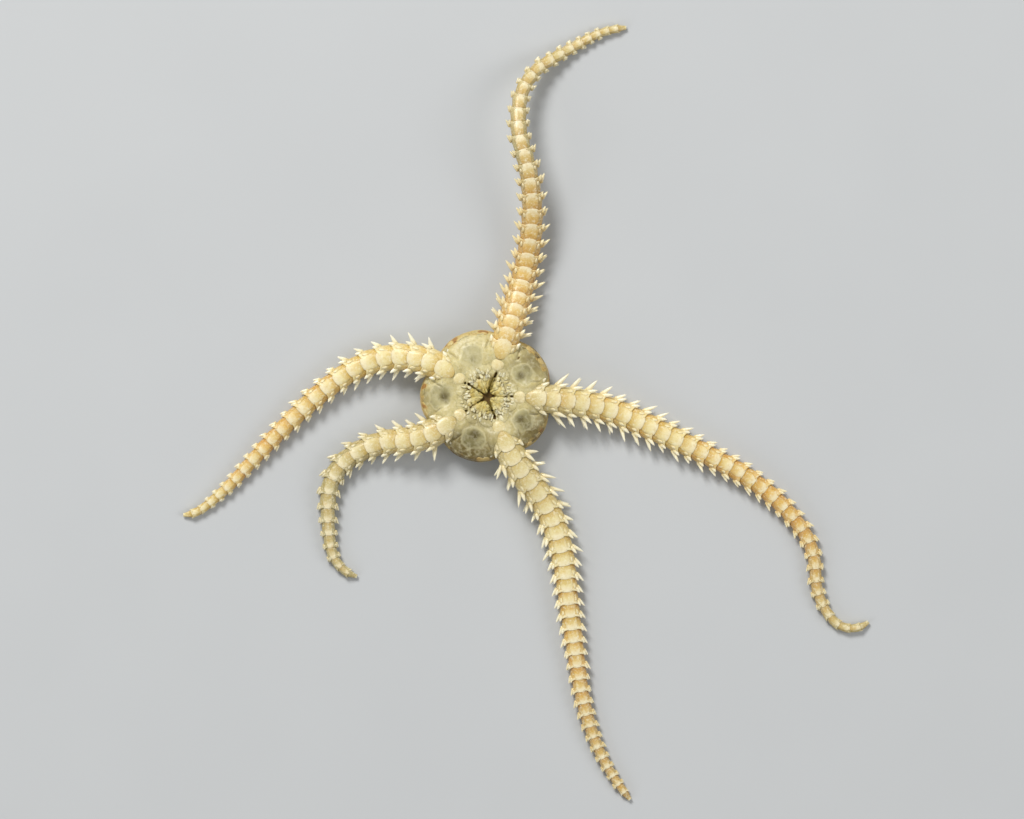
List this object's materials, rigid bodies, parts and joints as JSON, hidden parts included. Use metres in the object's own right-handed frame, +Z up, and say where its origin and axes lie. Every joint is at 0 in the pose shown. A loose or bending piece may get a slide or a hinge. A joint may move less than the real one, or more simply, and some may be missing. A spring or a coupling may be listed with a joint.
{
  "type": "brittle star",
  "caption": "Still life-size model of a small brittle star lying mouth side up, with a round disc and long jointed arms fringed with short spines.",
  "frame": {"origin": "middle of the disc, on the floor that the animal lies on", "axes": "+Z up out of the mouth; +X and +Y to the right and to the top of the picture, which looks straight down"},
  "size_m": [0.0411, 0.0467, 0.0033],
  "materials": {
    "disc_skin": "satin, pale grey-cream, slightly translucent at the rim",
    "arm_plates": "satin, cream to tan calcite plates",
    "jaws": "satin, pale gold with white papillae"
  },
  "bodies": {
    "root": {"disc": "disc_skin", "jaw_1": "jaws", "jaw_2": "jaws", "jaw_3": "jaws", "jaw_4": "jaws", "jaw_5": "jaws", "arm_1_inner": "arm_plates", "arm_1_middle": "arm_plates", "arm_1_outer": "arm_plates", "arm_1_tip": "arm_plates", "arm_2_inner": "arm_plates", "arm_2_middle": "arm_plates", "arm_2_outer": "arm_plates", "arm_2_tip": "arm_plates", "arm_3_inner": "arm_plates", "arm_3_middle": "arm_plates", "arm_3_outer": "arm_plates", "arm_3_tip": "arm_plates", "arm_4_inner": "arm_plates", "arm_4_middle": "arm_plates", "arm_4_outer": "arm_plates", "arm_4_tip": "arm_plates", "arm_5_inner": "arm_plates", "arm_5_middle": "arm_plates", "arm_5_outer": "arm_plates", "arm_5_bend": "arm_plates", "arm_5_tip": "arm_plates"}
  },
  "joints": []
}
